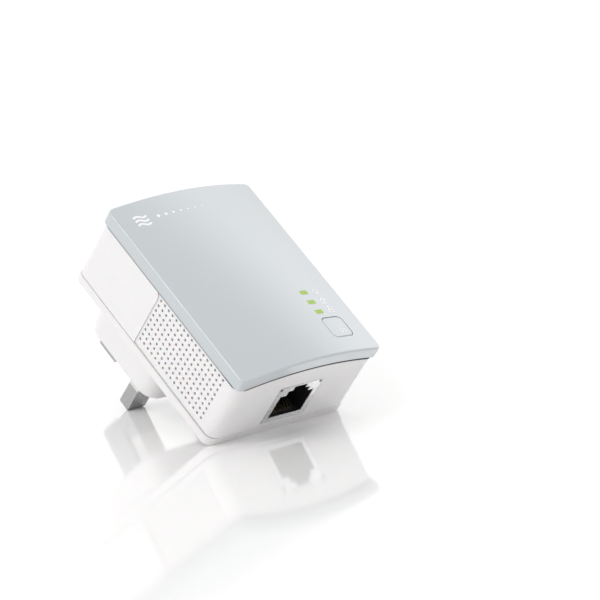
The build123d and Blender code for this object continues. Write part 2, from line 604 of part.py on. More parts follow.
# ---------------------------------------------------------------- parts on the power board
TRANSFORMER_PLACE = (-9.0, 8.0)
TRANSFORMER_CORE = (17.0, 14.0)
TRANSFORMER_LEG = 4.0
TRANSFORMER_WINDOW = (4.2, 10.4)
TRANSFORMER_CORE_DEPTH = 5.0
TRANSFORMER_MIDDLE = POWER_FRONT + 6.4
BOBBIN_FIT = 0.1
BOBBIN_WALL = 0.8
BOBBIN_HALF_WIDTH = 6.0
BOBBIN_HALF_DEPTH = 6.0
BOBBIN_FOOT = (10.0, 2.0)
WINDING_INSET = 0.5

bobbin_length = TRANSFORMER_WINDOW[1] - 2 * BOBBIN_FIT
leg_hole = (TRANSFORMER_LEG + 2 * BOBBIN_FIT, TRANSFORMER_CORE_DEPTH + 2 * BOBBIN_FIT)
hub = (leg_hole[0] + 2 * BOBBIN_WALL, leg_hole[1] + 2 * BOBBIN_WALL)
bobbin_place = (TRANSFORMER_PLACE[0], -TRANSFORMER_MIDDLE)
bobbin_foot_z = TRANSFORMER_PLACE[1] - bobbin_length / 2

with BuildPart() as transformer_core:
    with BuildSketch(depth_plane(TRANSFORMER_MIDDLE - TRANSFORMER_CORE_DEPTH / 2)):
        with Locations(TRANSFORMER_PLACE):
            Rectangle(*TRANSFORMER_CORE)
            with GridLocations(TRANSFORMER_LEG + TRANSFORMER_WINDOW[0], 0, 2, 1):
                Rectangle(*TRANSFORMER_WINDOW, mode=Mode.SUBTRACT)
    extrude(amount=TRANSFORMER_CORE_DEPTH)
transformer_core.part.label = "transformer_core"

with BuildPart() as transformer_bobbin:
    with BuildSketch(Plane.XY.offset(bobbin_foot_z)):
        with Locations(bobbin_place):
            Rectangle(*hub)
    extrude(amount=bobbin_length)
    for flange_z in (bobbin_foot_z, bobbin_foot_z + bobbin_length - BOBBIN_WALL):
        with BuildSketch(Plane.XY.offset(flange_z)):
            with Locations(bobbin_place):
                Rectangle(2 * BOBBIN_HALF_WIDTH, 2 * BOBBIN_HALF_DEPTH)
        extrude(amount=BOBBIN_WALL)
    with BuildSketch(Plane.XY.offset(bobbin_foot_z)):
        with Locations(bobbin_place):
            Rectangle(*leg_hole)
    extrude(amount=bobbin_length, mode=Mode.SUBTRACT)
    for foot_z in (bobbin_foot_z + BOBBIN_WALL / 2, bobbin_foot_z + bobbin_length - BOBBIN_WALL / 2):
        with BuildSketch(depth_plane(POWER_FRONT)):
            with Locations((TRANSFORMER_PLACE[0], foot_z)):
                Rectangle(BOBBIN_FOOT[0], BOBBIN_WALL)
        extrude(amount=TRANSFORMER_MIDDLE - BOBBIN_HALF_DEPTH - POWER_FRONT)
transformer_bobbin.part.label = "transformer_bobbin"

with BuildPart() as transformer_winding:
    with BuildSketch(Plane.XY.offset(bobbin_foot_z + BOBBIN_WALL)):
        with Locations(bobbin_place):
            RectangleRounded(
                2 * (BOBBIN_HALF_WIDTH - WINDING_INSET), 2 * (BOBBIN_HALF_DEPTH - WINDING_INSET),
                2 * BOBBIN_WALL,
            )
            Rectangle(*hub, mode=Mode.SUBTRACT)
    extrude(amount=bobbin_length - 2 * BOBBIN_WALL)
transformer_winding.part.label = "transformer_winding"

BULK_CAPACITOR_RADIUS = 5.0
BULK_CAPACITOR_LENGTH = 20.0
BULK_CAPACITOR_PLACE = (-15.2, -19.0)
CAPACITOR_GROOVE = 0.3
with BuildPart() as bulk_capacitor:
    with BuildSketch(Plane.XY.offset(BULK_CAPACITOR_PLACE[1] - BULK_CAPACITOR_LENGTH / 2)):
        with Locations((BULK_CAPACITOR_PLACE[0], -POWER_FRONT - BULK_CAPACITOR_RADIUS)):
            Circle(BULK_CAPACITOR_RADIUS)
    extrude(amount=BULK_CAPACITOR_LENGTH)
    chamfer(bulk_capacitor.edges().filter_by(GeomType.CIRCLE), length=CAPACITOR_GROOVE)
bulk_capacitor.part.label = "bulk_capacitor"

OUTPUT_CAPACITOR_RADIUS = 4.0
OUTPUT_CAPACITOR_HEIGHT = 11.0
OUTPUT_CAPACITOR_PLACES = ((14.8, -24.6), (14.8, -15.4))
with BuildPart() as output_capacitors:
    with BuildSketch(depth_plane(POWER_FRONT)):
        with Locations(*OUTPUT_CAPACITOR_PLACES):
            Circle(OUTPUT_CAPACITOR_RADIUS)
    extrude(amount=OUTPUT_CAPACITOR_HEIGHT)
    chamfer(output_capacitors.edges().filter_by(GeomType.CIRCLE), length=CAPACITOR_GROOVE)
output_capacitors.part.label = "output_capacitors"

CHOKE_PLACE = (3.4, 20.0)
CHOKE_RADIUS = 5.0
CHOKE_HUB_RADIUS = 2.4
CHOKE_FLANGE = 1.4
CHOKE_HEIGHT = 8.0
CHOKE_WINDING_INSET = 0.4
with BuildPart() as choke_core:
    with BuildSketch(depth_plane(POWER_FRONT)):
        with Locations(CHOKE_PLACE):
            Circle(CHOKE_RADIUS)
    extrude(amount=CHOKE_HEIGHT)
    with BuildSketch(depth_plane(POWER_FRONT + CHOKE_FLANGE)):
        with Locations(CHOKE_PLACE):
            Circle(CHOKE_RADIUS)
            Circle(CHOKE_HUB_RADIUS, mode=Mode.SUBTRACT)
    extrude(amount=CHOKE_HEIGHT - 2 * CHOKE_FLANGE, mode=Mode.SUBTRACT)
choke_core.part.label = "choke_core"

with BuildPart() as choke_winding:
    with BuildSketch(depth_plane(POWER_FRONT + CHOKE_FLANGE)):
        with Locations(CHOKE_PLACE):
            Circle(CHOKE_RADIUS - CHOKE_WINDING_INSET)
            Circle(CHOKE_HUB_RADIUS, mode=Mode.SUBTRACT)
    extrude(amount=CHOKE_HEIGHT - 2 * CHOKE_FLANGE)
choke_winding.part.label = "choke_winding"

FUSE_PLACE = (-18.6, 20.6)
FUSE_RADIUS = 1.8
FUSE_CAP_RADIUS = 2.1
FUSE_LENGTH = 9.0
FUSE_CAP_LENGTH = 2.0
with BuildPart() as fuse:
    with BuildSketch(Plane.XY.offset(FUSE_PLACE[1] - FUSE_LENGTH / 2)):
        with Locations((FUSE_PLACE[0], -POWER_FRONT - FUSE_CAP_RADIUS)):
            Circle(FUSE_CAP_RADIUS)
    extrude(amount=FUSE_LENGTH)
    with BuildSketch(Plane.XY.offset(FUSE_PLACE[1] - FUSE_LENGTH / 2 + FUSE_CAP_LENGTH)):
        with Locations((FUSE_PLACE[0], -POWER_FRONT - FUSE_CAP_RADIUS)):
            Circle(FUSE_CAP_RADIUS)
            Circle(FUSE_RADIUS, mode=Mode.SUBTRACT)
    extrude(amount=FUSE_LENGTH - 2 * FUSE_CAP_LENGTH, mode=Mode.SUBTRACT)
fuse.part.label = "fuse"


def disc_component(label, place, radius, thickness):
    """A dipped disc standing on edge across the power board, with its two legs."""
    leg_radius = thickness / 8
    axis_depth = POWER_FRONT + 1 + radius
    with BuildPart() as disc:
        with BuildSketch(Plane.YZ.offset(place[0] - thickness / 2)):
            with Locations((-axis_depth, place[1])):
                Circle(radius)
        extrude(amount=thickness)
        fillet(disc.edges().filter_by(GeomType.CIRCLE), radius=thickness / 3)
        with BuildSketch(depth_plane(POWER_FRONT)):
            with Locations(place):
                with GridLocations(0, radius, 1, 2):
                    Circle(leg_radius)
        extrude(amount=axis_depth - POWER_FRONT)
    disc.part.label = label
    return disc


varistor = disc_component("varistor", (-12.0, 22.4), 4.5, 3.4)
y_capacitor = disc_component("y_capacitor", (8.6, -5.2), 3.0, 2.8)

# Block-shaped parts: place, size across and up the board, height off the board, edge radius.
POWER_BOARD_BLOCKS = {
    "x_capacitor": ((14.0, 21.8), (6.0, 13.0), 11.0, 0.5),
    "bridge_rectifier": ((5.6, 8.0), (5.0, 6.5), 2.5, 0.2),
    "optocoupler": ((2.2, -3.4), (4.6, 6.5), 3.5, 0.2),
    "coupling_transformer": ((17.2, 2.6), (8.0, 8.0), 7.0, 0.6),
    "power_controller": ((-4.4, -8.0), (5.0, 4.0), 1.5, 0.2),
    "board_header": ((19.6, 14.6), (2.4, 12.0), LOGIC_BACK - POWER_FRONT, 0.2),
}
power_board_blocks = [
    block(label, place, POWER_FRONT, size, height, radius)
    for label, (place, size, height, radius) in POWER_BOARD_BLOCKS.items()
]

SHEET_MARGIN = 1.0
SHEET_FOOT_GAP = 2.0
insulating_sheet = block(
    "insulating_sheet", (0, JACK_MOUTH_Z + BODY_WALL + SHEET_FOOT_GAP + JACK_LENGTH / 2), POWER_FRONT,
    (JACK_WIDTH + 2 * SHEET_MARGIN, JACK_LENGTH), JACK_BACK - POWER_FRONT, SHEET_MARGIN,
)

# ---------------------------------------------------------------- parts on the back of the logic board
MAIN_CHIP_PLACE = (8.0, 7.0)
MAIN_CHIP_HEIGHT = 1.0
THERMAL_PAD_THICKNESS = 0.5
HEAT_SINK_SIZE = 13.0
HEAT_SINK_BASE = 1.2
HEAT_SINK_HEIGHT = 4.8
HEAT_SINK_FINS = 6
HEAT_SINK_FIN_THICKNESS = 0.9

MAGNETICS_GAP = 1.85  # between the network socket and the ethernet transformer
MAGNETICS_SIZE = (13.0, 9.0)
MAGNETICS_Z = JACK_MOUTH_Z + JACK_LENGTH + MAGNETICS_GAP + MAGNETICS_SIZE[1] / 2

# Block-shaped parts, laid out as those of the power board.
LOGIC_BOARD_BLOCKS = {
    "main_chip": (MAIN_CHIP_PLACE, (12.0, 12.0), MAIN_CHIP_HEIGHT, 0.2),
    "memory_chip": ((-15.6, -3.0), (8.0, 6.0), 1.0, 0.2),
    "crystal": ((-5.0, 1.6), (3.2, 2.5), 0.8, 0.2),
    "ethernet_transformer": ((0.0, MAGNETICS_Z), MAGNETICS_SIZE, 5.0, 0.4),
}
logic_board_blocks = [
    block(label, place, LOGIC_BACK, size, -height, radius)
    for label, (place, size, height, radius) in LOGIC_BOARD_BLOCKS.items()
]

sink_front = LOGIC_BACK - MAIN_CHIP_HEIGHT - THERMAL_PAD_THICKNESS
thermal_pad = block(
    "thermal_pad", MAIN_CHIP_PLACE, sink_front, (11.0, 11.0), THERMAL_PAD_THICKNESS
)
with BuildPart() as heat_sink:
    with BuildSketch(depth_plane(sink_front)):
        with Locations(MAIN_CHIP_PLACE):
            Rectangle(HEAT_SINK_SIZE, HEAT_SINK_SIZE)
    extrude(amount=-HEAT_SINK_BASE)
    with BuildSketch(depth_plane(sink_front)):
        with Locations(MAIN_CHIP_PLACE):
            fin_pitch = (HEAT_SINK_SIZE - HEAT_SINK_FIN_THICKNESS) / (HEAT_SINK_FINS - 1)
            with GridLocations(fin_pitch, 0, HEAT_SINK_FINS, 1):
                Rectangle(HEAT_SINK_FIN_THICKNESS, HEAT_SINK_SIZE)
    extrude(amount=-HEAT_SINK_HEIGHT)
heat_sink.part.label = "heat_sink"

# ---------------------------------------------------------------- lying pose
# The adapter lies on the rear rim's bottom edge and on the tips of its two power pins.
# The tabletop is the line from the rim's edge that just touches the round of a pin's tip.
tip_centre_y = BOSS_DEPTH + POWER_PIN_LENGTH - PIN_TIP_RADIUS
tip_centre_rise = PIN_ROW_Z - POWER_PIN[1] / 2 + PIN_TIP_RADIUS + RIM_HEIGHT / 2
rest_tilt = atan2(tip_centre_y, tip_centre_rise) + asin(PIN_TIP_RADIUS / hypot(tip_centre_y, tip_centre_rise))
tilted = Location((0, 0, 0), (degrees(rest_tilt) - 90, 0, 0))

pieces = [
    front_cover, case_body, rear_cover, light_guide, pair_button, switch_base, switch_plunger, status_leds,
    line_pin, neutral_pin, earth_pin, line_pin_sleeve, neutral_pin_sleeve, pin_carrier,
    logic_board, power_board, board_screws, insulating_sheet, jack_shield, jack_housing, jack_contacts,
    transformer_core, transformer_bobbin, transformer_winding, bulk_capacitor, output_capacitors,
    choke_core, choke_winding, fuse, varistor, y_capacitor, thermal_pad, heat_sink,
    *power_board_blocks, *logic_board_blocks,
]
extent = Compound([piece.part.moved(tilted) for piece in pieces]).bounding_box()
to_origin = Location((-extent.center().X, -extent.center().Y, -extent.min.Z))
rest_pose = to_origin * tilted

for piece in pieces:
    posed = piece.part.moved(rest_pose)
    posed.label = piece.part.label
    export_step(posed, f"parts/{posed.label}.step")
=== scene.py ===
import json
import math

import bpy
from mathutils import Matrix, Vector
from mathutils.bvhtree import BVHTree


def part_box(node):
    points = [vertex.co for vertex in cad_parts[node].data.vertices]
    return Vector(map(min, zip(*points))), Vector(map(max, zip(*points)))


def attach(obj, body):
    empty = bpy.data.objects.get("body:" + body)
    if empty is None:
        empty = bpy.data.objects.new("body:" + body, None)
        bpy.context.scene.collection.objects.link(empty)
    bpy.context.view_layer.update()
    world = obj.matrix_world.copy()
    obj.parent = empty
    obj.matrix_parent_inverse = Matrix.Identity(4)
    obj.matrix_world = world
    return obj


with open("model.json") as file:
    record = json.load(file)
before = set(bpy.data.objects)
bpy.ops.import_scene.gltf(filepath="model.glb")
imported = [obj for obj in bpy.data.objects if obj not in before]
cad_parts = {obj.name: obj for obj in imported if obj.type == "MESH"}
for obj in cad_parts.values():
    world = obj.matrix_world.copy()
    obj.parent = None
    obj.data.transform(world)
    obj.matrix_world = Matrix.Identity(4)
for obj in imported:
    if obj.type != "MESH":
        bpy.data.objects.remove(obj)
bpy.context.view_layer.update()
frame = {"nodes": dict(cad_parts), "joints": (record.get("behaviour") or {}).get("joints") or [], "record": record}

nodes = frame["nodes"]

# The case's own directions in the row's frame: across the face, into it, and up it.
RIGHT = Vector((1, 0, 0))
INWARD = Vector(frame["joints"][0]["axis"]).normalized()
FORWARD = -INWARD
UP = RIGHT.cross(INWARD)
MM = 0.001


def reach(node, direction):
    """Lowest and highest mark of a CAD node along a direction, in metres."""
    marks = [v.co.dot(direction) for v in nodes[node].data.vertices]
    return min(marks), max(marks)


COVER_FOOT, COVER_TOP = reach("front_cover", UP)
MIDDLE = (COVER_FOOT + COVER_TOP) / 2
COVER_SPAN = (COVER_TOP - COVER_FOOT) / MM
CROWN = reach("front_cover", FORWARD)[1]


def case_point(x, height, depth):
    """A point in the row's frame from millimetres across, up and behind the middle of the face."""
    return RIGHT * x * MM + UP * (MIDDLE + height * MM) + FORWARD * (CROWN - depth * MM)


# ---------------------------------------------------------------- materials
def new_material(name):
    made = bpy.data.materials.new(name)
    made.use_nodes = True
    tree = made.node_tree
    return made, tree, tree.nodes["Principled BSDF"]


def add_node(tree, kind, inputs=None, **settings):
    """A node with its settings, its inputs set to values or joined to other nodes' outputs."""
    node = tree.nodes.new(kind)
    for key, value in settings.items():
        setattr(node, key, value)
    for key, value in (inputs or {}).items():
        if isinstance(value, bpy.types.NodeSocket):
            tree.links.new(value, node.inputs[key])
        else:
            node.inputs[key].default_value = value
    return node


def stretched(tree, stretch):
    """Object coordinates squeezed along each axis of the case: across, into and up the face."""
    place = add_node(tree, "ShaderNodeTexCoord").outputs["Object"]
    axes = Matrix((RIGHT, INWARD, UP)).to_euler()
    turned = add_node(tree, "ShaderNodeMapping", {"Vector": place, "Rotation": axes, "Scale": (1, 1, 1)})
    return add_node(tree, "ShaderNodeMapping", {"Vector": turned.outputs[0], "Scale": stretch}).outputs[0]


def noise(tree, size, detail=3.0, stretch=(1, 1, 1), rough=0.55):
    """Noise with features about size millimetres across."""
    where = stretched(tree, stretch)
    inputs = {"Vector": where, "Scale": 1 / (size * MM), "Detail": detail, "Roughness": rough}
    return add_node(tree, "ShaderNodeTexNoise", inputs).outputs["Fac"]


def remap(tree, value, low, high, start=0.35, end=0.65):
    """The value spread from low to high as it goes from start to end."""
    inputs = {"Value": value, "From Min": start, "From Max": end, "To Min": low, "To Max": high}
    return add_node(tree, "ShaderNodeMapRange", inputs).outputs["Result"]


def blend_colours(tree, factor, first, second):
    """Mixes two colours, each given as a value or a socket."""
    mix = add_node(tree, "ShaderNodeMix", data_type="RGBA")
    for slot, value in ((0, factor), (6, first), (7, second)):
        if isinstance(value, bpy.types.NodeSocket):
            tree.links.new(value, mix.inputs[slot])
        else:
            mix.inputs[slot].default_value = (*value, 1) if slot else value
    return mix.outputs[2]


def bump(tree, height, depth, normal=None):
    """A bump of a height field that is depth millimetres deep."""
    inputs = {"Height": height, "Strength": 1.0, "Distance": depth * MM}
    if normal:
        inputs["Normal"] = normal
    return add_node(tree, "ShaderNodeBump", inputs).outputs["Normal"]


def set_shader(tree, shader, colour, roughness, normal, **fixed):
    """Joins the varying inputs and sets the constant ones on the shader's own sockets."""
    tree.links.new(colour, shader.inputs["Base Color"])
    tree.links.new(roughness, shader.inputs["Roughness"])
    if normal:
        tree.links.new(normal, shader.inputs["Normal"])
    for key, value in fixed.items():
        shader.inputs[key.replace("_", " ")].default_value = value


def plastic(name, colour, rough, tone=0.97, grain=0.25, depth=0.004, mottle=9.0, **fixed):
    """A moulded plastic: eroded grain of the given size and depth, faint mottling and wear in the gloss."""
    made, tree, shader = new_material(name)
    darker = [c * tone for c in colour]
    base = blend_colours(tree, remap(tree, noise(tree, mottle), 0, 1), colour, darker)
    gloss = remap(tree, noise(tree, mottle / 2, 5), rough * 0.85, rough * 1.15)
    normal = bump(tree, noise(tree, grain, 2), depth)
    set_shader(tree, shader, base, gloss, normal, **fixed)
    return made


def metal(name, colour, rough, stretch=(1, 1, 12), grain=1.2, depth=0.003, tone=0.86, **fixed):
    """A drawn or plated metal with fine lines along the case's axis that stretch leaves least."""
    made, tree, shader = new_material(name)
    lines = noise(tree, grain, 4, stretch)
    darker = [c * tone for c in colour]
    base = blend_colours(tree, remap(tree, noise(tree, 2.5, 4), 0, 1), colour, darker)
    gloss = remap(tree, lines, rough * 0.7, rough * 1.4)
    fixed.setdefault("Metallic", 1.0)
    set_shader(tree, shader, base, gloss, bump(tree, lines, depth), **fixed)
    return made


def lit_plastic():
    """Light guide ends, lit from behind: a speckled green glow, frosted."""
    made, tree, shader = new_material("guide_plastic")
    speckle = noise(tree, 0.35, 3)
    green, pale = (0.20, 0.36, 0.015), (0.34, 0.50, 0.05)
    base = blend_colours(tree, remap(tree, speckle, 0, 1), green, pale)
    tree.links.new(base, shader.inputs["Emission Color"])
    gloss = remap(tree, speckle, 0.25, 0.45)
    set_shader(tree, shader, base, gloss, bump(tree, speckle, 0.01), Emission_Strength=0.22)
    return made


def pearl_cover(name, mark_rough=0.3):
    """The face's lacquered grey: cool and warm grey and a trace of green in broad patches, flow in the coat."""
    made, tree, shader = new_material(name)
    cool, warm, green = (0.487, 0.52, 0.548), (0.493, 0.526, 0.548), (0.488, 0.528, 0.536)
    broad = blend_colours(tree, remap(tree, noise(tree, 46, 0), 0, 1, 0.1, 0.9), cool, warm)
    base = blend_colours(tree, remap(tree, noise(tree, 30, 0, (1, 1, 0.5)), 0, 0.6, 0.1, 0.9), broad, green)
    gloss = remap(tree, noise(tree, 14, 1), mark_rough * 0.9, mark_rough * 1.1, 0.1, 0.9)
    normal = bump(tree, noise(tree, 1.2, 1), 0.0006)
    fixed = {"Coat_Weight": 1.0, "Coat_Roughness": 0.045, "Coat_IOR": 1.5, "Specular_IOR_Level": 0.4}
    set_shader(tree, shader, base, gloss, normal, **fixed)
    swell = bump(tree, noise(tree, 9, 1), 0.003)
    tree.links.new(swell, shader.inputs["Coat Normal"])
    return made


def board(name, colour, copper, trace):
    """A laminate with a copper pattern: copper lines between bricks of two tones, with a faint weave."""
    made, tree, shader = new_material(name)
    place = stretched(tree, (1, 0, 1))
    bricks = add_node(tree, "ShaderNodeTexBrick", {
        "Vector": place, "Scale": 1 / (trace * MM), "Mortar Size": 0.12, "Mortar Smooth": 0.1,
        "Color1": (*colour, 1), "Color2": (*[c * 1.12 for c in colour], 1), "Mortar": (*copper, 1),
    })
    weave = noise(tree, 0.3, 2, (1, 1, 6))
    shaded = [c * 0.7 for c in colour]
    base = blend_colours(tree, remap(tree, weave, 0, 0.35), bricks.outputs["Color"], shaded)
    gloss = remap(tree, weave, 0.3, 0.5)
    set_shader(tree, shader, base, gloss, bump(tree, bricks.outputs["Fac"], 0.02), Specular_IOR_Level=0.5)
    return made


def wound(name, colour, pitch, **fixed):
    """A winding or wrap: rings of the given pitch round the part, with gloss that follows them."""
    made, tree, shader = new_material(name)
    rings = add_node(tree, "ShaderNodeTexWave", {
        "Vector": stretched(tree, (0.1, 1, 1)), "Scale": 0.3 / (pitch * MM), "Distortion": 0.4, "Detail": 1.0,
    }, bands_direction="Z").outputs["Fac"]
    base = blend_colours(tree, rings, [c * 0.7 for c in colour], colour)
    set_shader(tree, shader, base, remap(tree, rings, 0.45, 0.25, 0, 1), bump(tree, rings, 0.05), **fixed)
    return made


finishes = {
    "cover_plastic": pearl_cover("cover_plastic"),
    "case_plastic": plastic("case_plastic", (0.76, 0.75, 0.755), 0.36, 0.985, 0.22, 0.0035,
                            Subsurface_Weight=0.12, Subsurface_Scale=0.0012, Coat_Weight=0.15,
                            Coat_Roughness=0.25),
    "guide_plastic": lit_plastic(),
    "button_plastic": pearl_cover("button_plastic", 0.32),
    "black_plastic": plastic("black_plastic", (0.006, 0.006, 0.007), 0.45, 0.8, 0.15, 0.004),
    "plunger_plastic": plastic("plunger_plastic", (0.75, 0.74, 0.70), 0.45),
    "led_resin": plastic("led_resin", (0.55, 0.75, 0.25), 0.2, 0.9, Transmission_Weight=0.3),
    "pin_metal": metal("pin_metal", (0.47, 0.47, 0.475), 0.34, (1, 0.2, 1), 0.9, 0.0002, 0.98),
    "sleeve_plastic": plastic("sleeve_plastic", (0.70, 0.70, 0.69), 0.4),
    "carrier_plastic": plastic("carrier_plastic", (0.72, 0.70, 0.66), 0.5, 0.93, 0.3, 0.006),
    "circuit_board": board("circuit_board", (0.015, 0.11, 0.045), (0.03, 0.19, 0.07), 1.4),
    "power_laminate": board("power_laminate", (0.30, 0.21, 0.09), (0.42, 0.30, 0.13), 2.6),
    "screw_steel": metal("screw_steel", (0.55, 0.55, 0.56), 0.3, (1, 1, 6)),
    "insulation_film": plastic("insulation_film", (0.75, 0.76, 0.72), 0.15, 0.95, 1.5, 0.01, Alpha=1.0),
    "shield_metal": metal("shield_metal", (0.84, 0.84, 0.85), 0.3, (0.1, 1, 1), 0.3, 0.0006, 0.97),
    "gold_contacts": metal("gold_contacts", (0.95, 0.80, 0.55), 0.16, (1, 0.2, 1), 0.3, 0.001, 0.9),
    "ferrite": plastic("ferrite", (0.05, 0.048, 0.05), 0.55, 0.8, 0.12, 0.012),
    "winding_tape": wound("winding_tape", (0.75, 0.55, 0.08), 0.9),
    "capacitor_sleeve": plastic("capacitor_sleeve", (0.02, 0.025, 0.06), 0.22, 0.85, 0.6, 0.006),
    "copper_wire": wound("copper_wire", (0.72, 0.30, 0.13), 0.45, Metallic=0.9),
    "fuse_body": plastic("fuse_body", (0.10, 0.32, 0.12), 0.3, 0.9),
    "blue_epoxy": plastic("blue_epoxy", (0.03, 0.14, 0.45), 0.28, 0.85, 0.8, 0.02),
    "yellow_box": plastic("yellow_box", (0.78, 0.56, 0.04), 0.35, 0.92),
    "chip_resin": plastic("chip_resin", (0.02, 0.02, 0.022), 0.5, 0.75, 0.1, 0.006),
    "pad_silicone": plastic("pad_silicone", (0.42, 0.45, 0.52), 0.6, 0.9, 0.3, 0.01),
    "heat_sink_metal": metal("heat_sink_metal", (0.80, 0.80, 0.82), 0.35, (1, 1, 10), 0.8, 0.004),
}

for part in frame["record"]["subparts"]:
    mesh = nodes[part["node"]].data
    mesh.materials.clear()
    mesh.materials.append(finishes[part["material_slot"]])


# ---------------------------------------------------------------- print on the face
CAST_FROM = -20  # depth that sight lines onto the front surfaces start from, well in front of them


def search_tree(node):
    mesh = nodes[node].data
    return BVHTree.FromPolygons([v.co for v in mesh.vertices], [list(p.vertices) for p in mesh.polygons])


def on_surface(tree, x, height, proud):
    """The place on a front surface at millimetres across and up, standing proud of it."""
    start = case_point(x, height, CAST_FROM)
    place = tree.ray_cast(start, INWARD)[0]
    return place + FORWARD * proud * MM


def stroke(points, width, closed=False):
    """Mitred band along points, as quads."""
    count = len(points)
    sides = []
    for i, point in enumerate(points):
        before = points[i - 1] if i or closed else point
        after = points[(i + 1) % count] if i + 1 < count or closed else point
        first = (Vector(point) - Vector(before)).normalized() if point != before else None
        second = (Vector(after) - Vector(point)).normalized() if after != point else None
        first, second = first or second, second or first
        along = (first + second).normalized()
        out = Vector((-along.y, along.x))
        half = width / 2 / max(out.dot(Vector((-first.y, first.x))), 0.35)
        sides.append((Vector(point) + out * half, Vector(point) - out * half))
    pairs = zip(sides, sides[1:] + sides[:1]) if closed else zip(sides, sides[1:])
    return [(a[0], a[1], b[1], b[0]) for a, b in pairs]


def arc(cx, cz, radius, start, end, steps):
    angles = [math.radians(start + (end - start) * i / steps) for i in range(steps + 1)]
    return [(cx + radius * math.cos(a), cz + radius * math.sin(a)) for a in angles]


def disc(cx, cz, radius, steps=20):
    rim = arc(cx, cz, radius, 0, 360, steps)[:-1]
    return [((cx, cz), rim[i], rim[(i + 1) % steps]) for i in range(steps)]


def printed(name, faces, node, body, ink, proud=0.02):
    """Ink laid on a node's front surface, riding on a body."""
    tree = search_tree(node)
    places, polygons, known = [], [], {}
    for face in faces:
        polygon = []
        for x, height in face:
            key = (round(x, 4), round(height, 4))
            if key not in known:
                known[key] = len(places)
                places.append(on_surface(tree, x, height, proud))
            polygon.append(known[key])
        polygons.append(polygon)
    mesh = bpy.data.meshes.new(name)
    mesh.from_pydata(places, [], polygons)
    mesh.materials.append(ink)
    made = bpy.data.objects.new(name, mesh)
    bpy.context.scene.collection.objects.link(made)
    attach(made, body)
    return made


white_ink = plastic("white_ink", (0.90, 0.90, 0.90), 0.3, 0.97, 0.1, 0.001)

ICON_X = 17.45
LINE = 0.26


def wave(x0, x1, height, rise, turns, steps):
    return [(x0 + (x1 - x0) * i / steps, height + rise * math.sin(turns * 2 * math.pi * i / steps))
            for i in range(steps + 1)]


power_icon = (
    stroke(arc(ICON_X, -10.1, 0.82, 125, 415, 28), LINE)
    + stroke([(ICON_X, -9.0), (ICON_X, -9.95)], LINE)
)
printed("icon_power", power_icon, "front_cover", "adapter", white_ink)
house = [(-0.72, -0.85), (-0.72, 0.15), (-1.0, 0.15), (0, 1.0), (1.0, 0.15), (0.72, 0.15), (0.72, -0.85)]
house_icon = stroke([(ICON_X + x, -13.8 + z) for x, z in house], LINE, closed=True)
printed("icon_house", house_icon, "front_cover", "adapter", white_ink)
port_icon = (
    stroke([(ICON_X, -16.35), (ICON_X, -17.0)], LINE)
    + stroke([(ICON_X + x, z) for x, z in ((-0.8, -17.7), (-0.8, -17.13), (0.8, -17.13), (0.8, -17.7))], LINE)
    + stroke([(ICON_X - 0.3, -16.1), (ICON_X + 0.3, -16.1)], 0.5)
    + stroke([(ICON_X - 1.1, -17.95), (ICON_X - 0.5, -17.95)], 0.5)
    + stroke([(ICON_X + 0.5, -17.95), (ICON_X + 1.1, -17.95)], 0.5)
)
printed("icon_network", port_icon, "front_cover", "adapter", white_ink)

MARK_X, MARK_Z = -19.1, 25.5
mark = []
for rise in (-1.35, 0, 1.35):
    mark += stroke(wave(MARK_X - 2.1, MARK_X + 2.1, MARK_Z + rise, 0.42, 1, 22), 0.62)
for i in range(7):
    mark += disc(MARK_X + 5.4 + 2.6 * i, MARK_Z, 0.52 - 0.055 * i)
printed("face_mark", mark, "front_cover", "adapter", white_ink)

BUTTON_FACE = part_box("pair_button")
button_x = (BUTTON_FACE[0].x + BUTTON_FACE[1].x) / 2 / MM
button_span = reach("pair_button", UP)
button_z = ((button_span[0] + button_span[1]) / 2 - MIDDLE) / MM
LINK_LINE = 0.2
link_z = button_z - 1.5
link_icon = (
    stroke(arc(button_x + 0.65, link_z, 0.5, 60, 300, 16), LINK_LINE)
    + stroke(arc(button_x + 1.75, link_z, 0.5, -120, 120, 16), LINK_LINE)
    + stroke([(button_x + 0.8, link_z), (button_x + 1.6, link_z)], LINK_LINE)
)
printed("icon_pair", link_icon, "pair_button", "button", white_ink)


# ---------------------------------------------------------------- painted seam shadow
# A painted shadow: a dark strip standing for the shade in the open seam behind the cover, laid just proud of the
# case body's outline and bowed as the face is. The cover's overhang hides most of it at the sides.
def rounded_outline(half_width, half_height, radius, steps=8):
    points = []
    for cx, cz, start in ((1, 1, 0), (-1, 1, 90), (-1, -1, 180), (1, -1, 270)):
        centre = (cx * (half_width - radius), cz * (half_height - radius))
        points += arc(*centre, radius, start, start + 90, steps)
    return points


# painted shade: the strip is darkest at the cover's foot and pales upward between these heights
FOOT_SHADE_SPAN = (1.5, 9)  # heights above the cover's foot between which the line turns from dark to pale


def seam_shadow_paint():
    made, tree, shader = new_material("seam_shadow")
    place = add_node(tree, "ShaderNodeTexCoord").outputs["Object"]
    rise = add_node(tree, "ShaderNodeVectorMath", {0: place, 1: UP}, operation="DOT_PRODUCT").outputs["Value"]
    # painted shade: near-black at the foot, paler higher up, as the seam's shadow lightens
    foot_shade = remap(tree, rise, 0, 1, COVER_FOOT + FOOT_SHADE_SPAN[0] * MM, COVER_FOOT + FOOT_SHADE_SPAN[1] * MM)
    base = blend_colours(tree, foot_shade, (0.012, 0.012, 0.013), (0.30, 0.30, 0.31))
    grime = noise(tree, 1.5, 3)
    set_shader(tree, shader, base, remap(tree, grime, 0.6, 0.8), bump(tree, grime, 0.01))
    return made


COVER_HALF = (reach("front_cover", RIGHT)[1] / MM, COVER_SPAN / 2)
body_foot, body_top = reach("case_body", UP)
BODY_HALF = (reach("case_body", RIGHT)[1] / MM, (body_top - body_foot) / (2 * MM))
BODY_CORNER = 3.2
SEAM_DEPTH = 3.6  # behind the crown of the face, where the cover's band ends
# width of the painted shadow strip
SEAM_SHADOW_WIDTH = 0.75
SEAM_PROUD = 0.02


